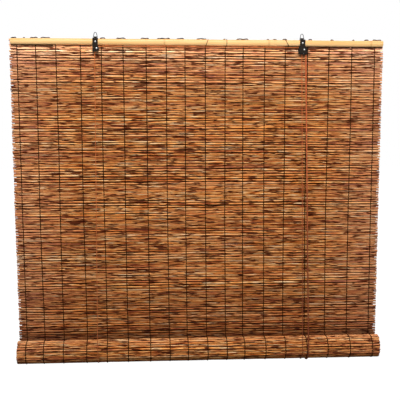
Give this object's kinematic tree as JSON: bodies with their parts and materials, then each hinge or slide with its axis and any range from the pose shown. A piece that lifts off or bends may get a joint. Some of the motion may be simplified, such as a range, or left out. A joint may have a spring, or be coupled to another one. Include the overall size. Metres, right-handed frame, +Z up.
{
  "type": "reed roll up blind",
  "caption": "Hanging window blind: a mat of brown reeds bound by dark threads between bamboo battens, wound into a roll at its foot and raised by cords through a pulley and a cord lock.",
  "frame": {"origin": "on the hang line, midway between the two hook points inside the tops of the wire rings, in the mat's middle plane", "axes": "+X to the right along the battens seen from the room, +Y towards the window or wall behind, +Z up"},
  "size_m": [0.905, 0.0801, 0.814],
  "materials": {
    "pale_bamboo": "scraped bamboo, satin",
    "tan_bamboo": "split bamboo, matt",
    "reed": "heat-browned reed stems, satin",
    "dark_thread": "dark twine",
    "black_steel": "black paint",
    "steel_wire": "zinc plated wire",
    "bright_steel": "bright plated",
    "black_plastic": "moulded",
    "pale_plastic": "moulded",
    "brass": "stamped brass",
    "orange_cord": "braided nylon cord",
    "rust_cord": "twisted nylon cord"
  },
  "bodies": {
    "head": {"front_batten": "pale_bamboo", "rear_batten": "tan_bamboo", "batten_ties": "dark_thread", "warp_threads": "dark_thread", "reed_mat": "reed", "left_strap": "black_steel", "right_strap": "black_steel", "lock_housing": "black_steel", "hanger_nails": "bright_steel", "left_axle": "bright_steel", "lock_axle": "bright_steel", "pawl_pin": "bright_steel", "pull_cord_tack": "bright_steel", "cross_cord": "orange_cord", "left_cord_front": "orange_cord", "left_cord_back": "orange_cord", "left_cord_knot": "orange_cord", "lock_cord": "rust_cord", "right_cord_front": "rust_cord", "right_cord_back": "rust_cord", "right_cord_knot": "rust_cord", "pull_cord_front": "rust_cord", "pull_cord_back": "rust_cord", "pull_cord_hitch": "rust_cord"},
    "left_ring": {"left_ring": "steel_wire"},
    "right_ring": {"right_ring": "steel_wire"},
    "left_pulley": {"left_pulley": "black_plastic"},
    "lock_roller": {"lock_roller": "pale_plastic"},
    "lock_pawl": {"lock_pawl": "brass"},
    "slings": {"left_cord_sling": "orange_cord", "right_cord_sling": "rust_cord", "pull_cord_sling": "rust_cord"},
    "roll": {"mat_roll": "reed", "roll_threads": "dark_thread", "bottom_rod": "tan_bamboo"}
  },
  "joints": [
    {"name": "left_ring_swing", "type": "hinge", "parent": "head", "child": "left_ring", "pos_m": [-0.25, 0, -0.0108], "axis": [1, 0, 0], "range_deg": [-90, 90]},
    {"name": "right_ring_swing", "type": "hinge", "parent": "head", "child": "right_ring", "pos_m": [0.25, 0, -0.0108], "axis": [1, 0, 0], "range_deg": [-90, 90]},
    {"name": "left_pulley_spin", "type": "hinge", "parent": "head", "child": "left_pulley", "pos_m": [-0.247, -0.008, -0.0371], "axis": [0, 1, 0], "continuous": true},
    {"name": "lock_roller_spin", "type": "hinge", "parent": "head", "child": "lock_roller", "pos_m": [0.2542, -0.007, -0.0371], "axis": [0, 1, 0], "continuous": true},
    {"name": "lock_pawl_release", "type": "hinge", "parent": "head", "child": "lock_pawl", "pos_m": [0.2532, -0.007, -0.0453], "axis": [0, 1, 0], "range_deg": [0, 25]},
    {"name": "roll_lift", "type": "slide", "parent": "head", "child": "slings", "axis": [0, 0, 1], "range_m": [0, 0.5522], "deforming": ["reed_mat", "warp_threads", "left_cord_front", "left_cord_back", "right_cord_front", "right_cord_back", "pull_cord_front", "pull_cord_back"]},
    {"name": "roll_turn", "type": "hinge", "parent": "slings", "child": "roll", "pos_m": [0, -0.0293, -0.7754], "axis": [1, 0, 0], "range_deg": [-1080, 0]}
  ],
  "couplings": [
    {"joint": "roll_turn", "follows": "roll_lift", "rad_per_m": -34.13}
  ]
}
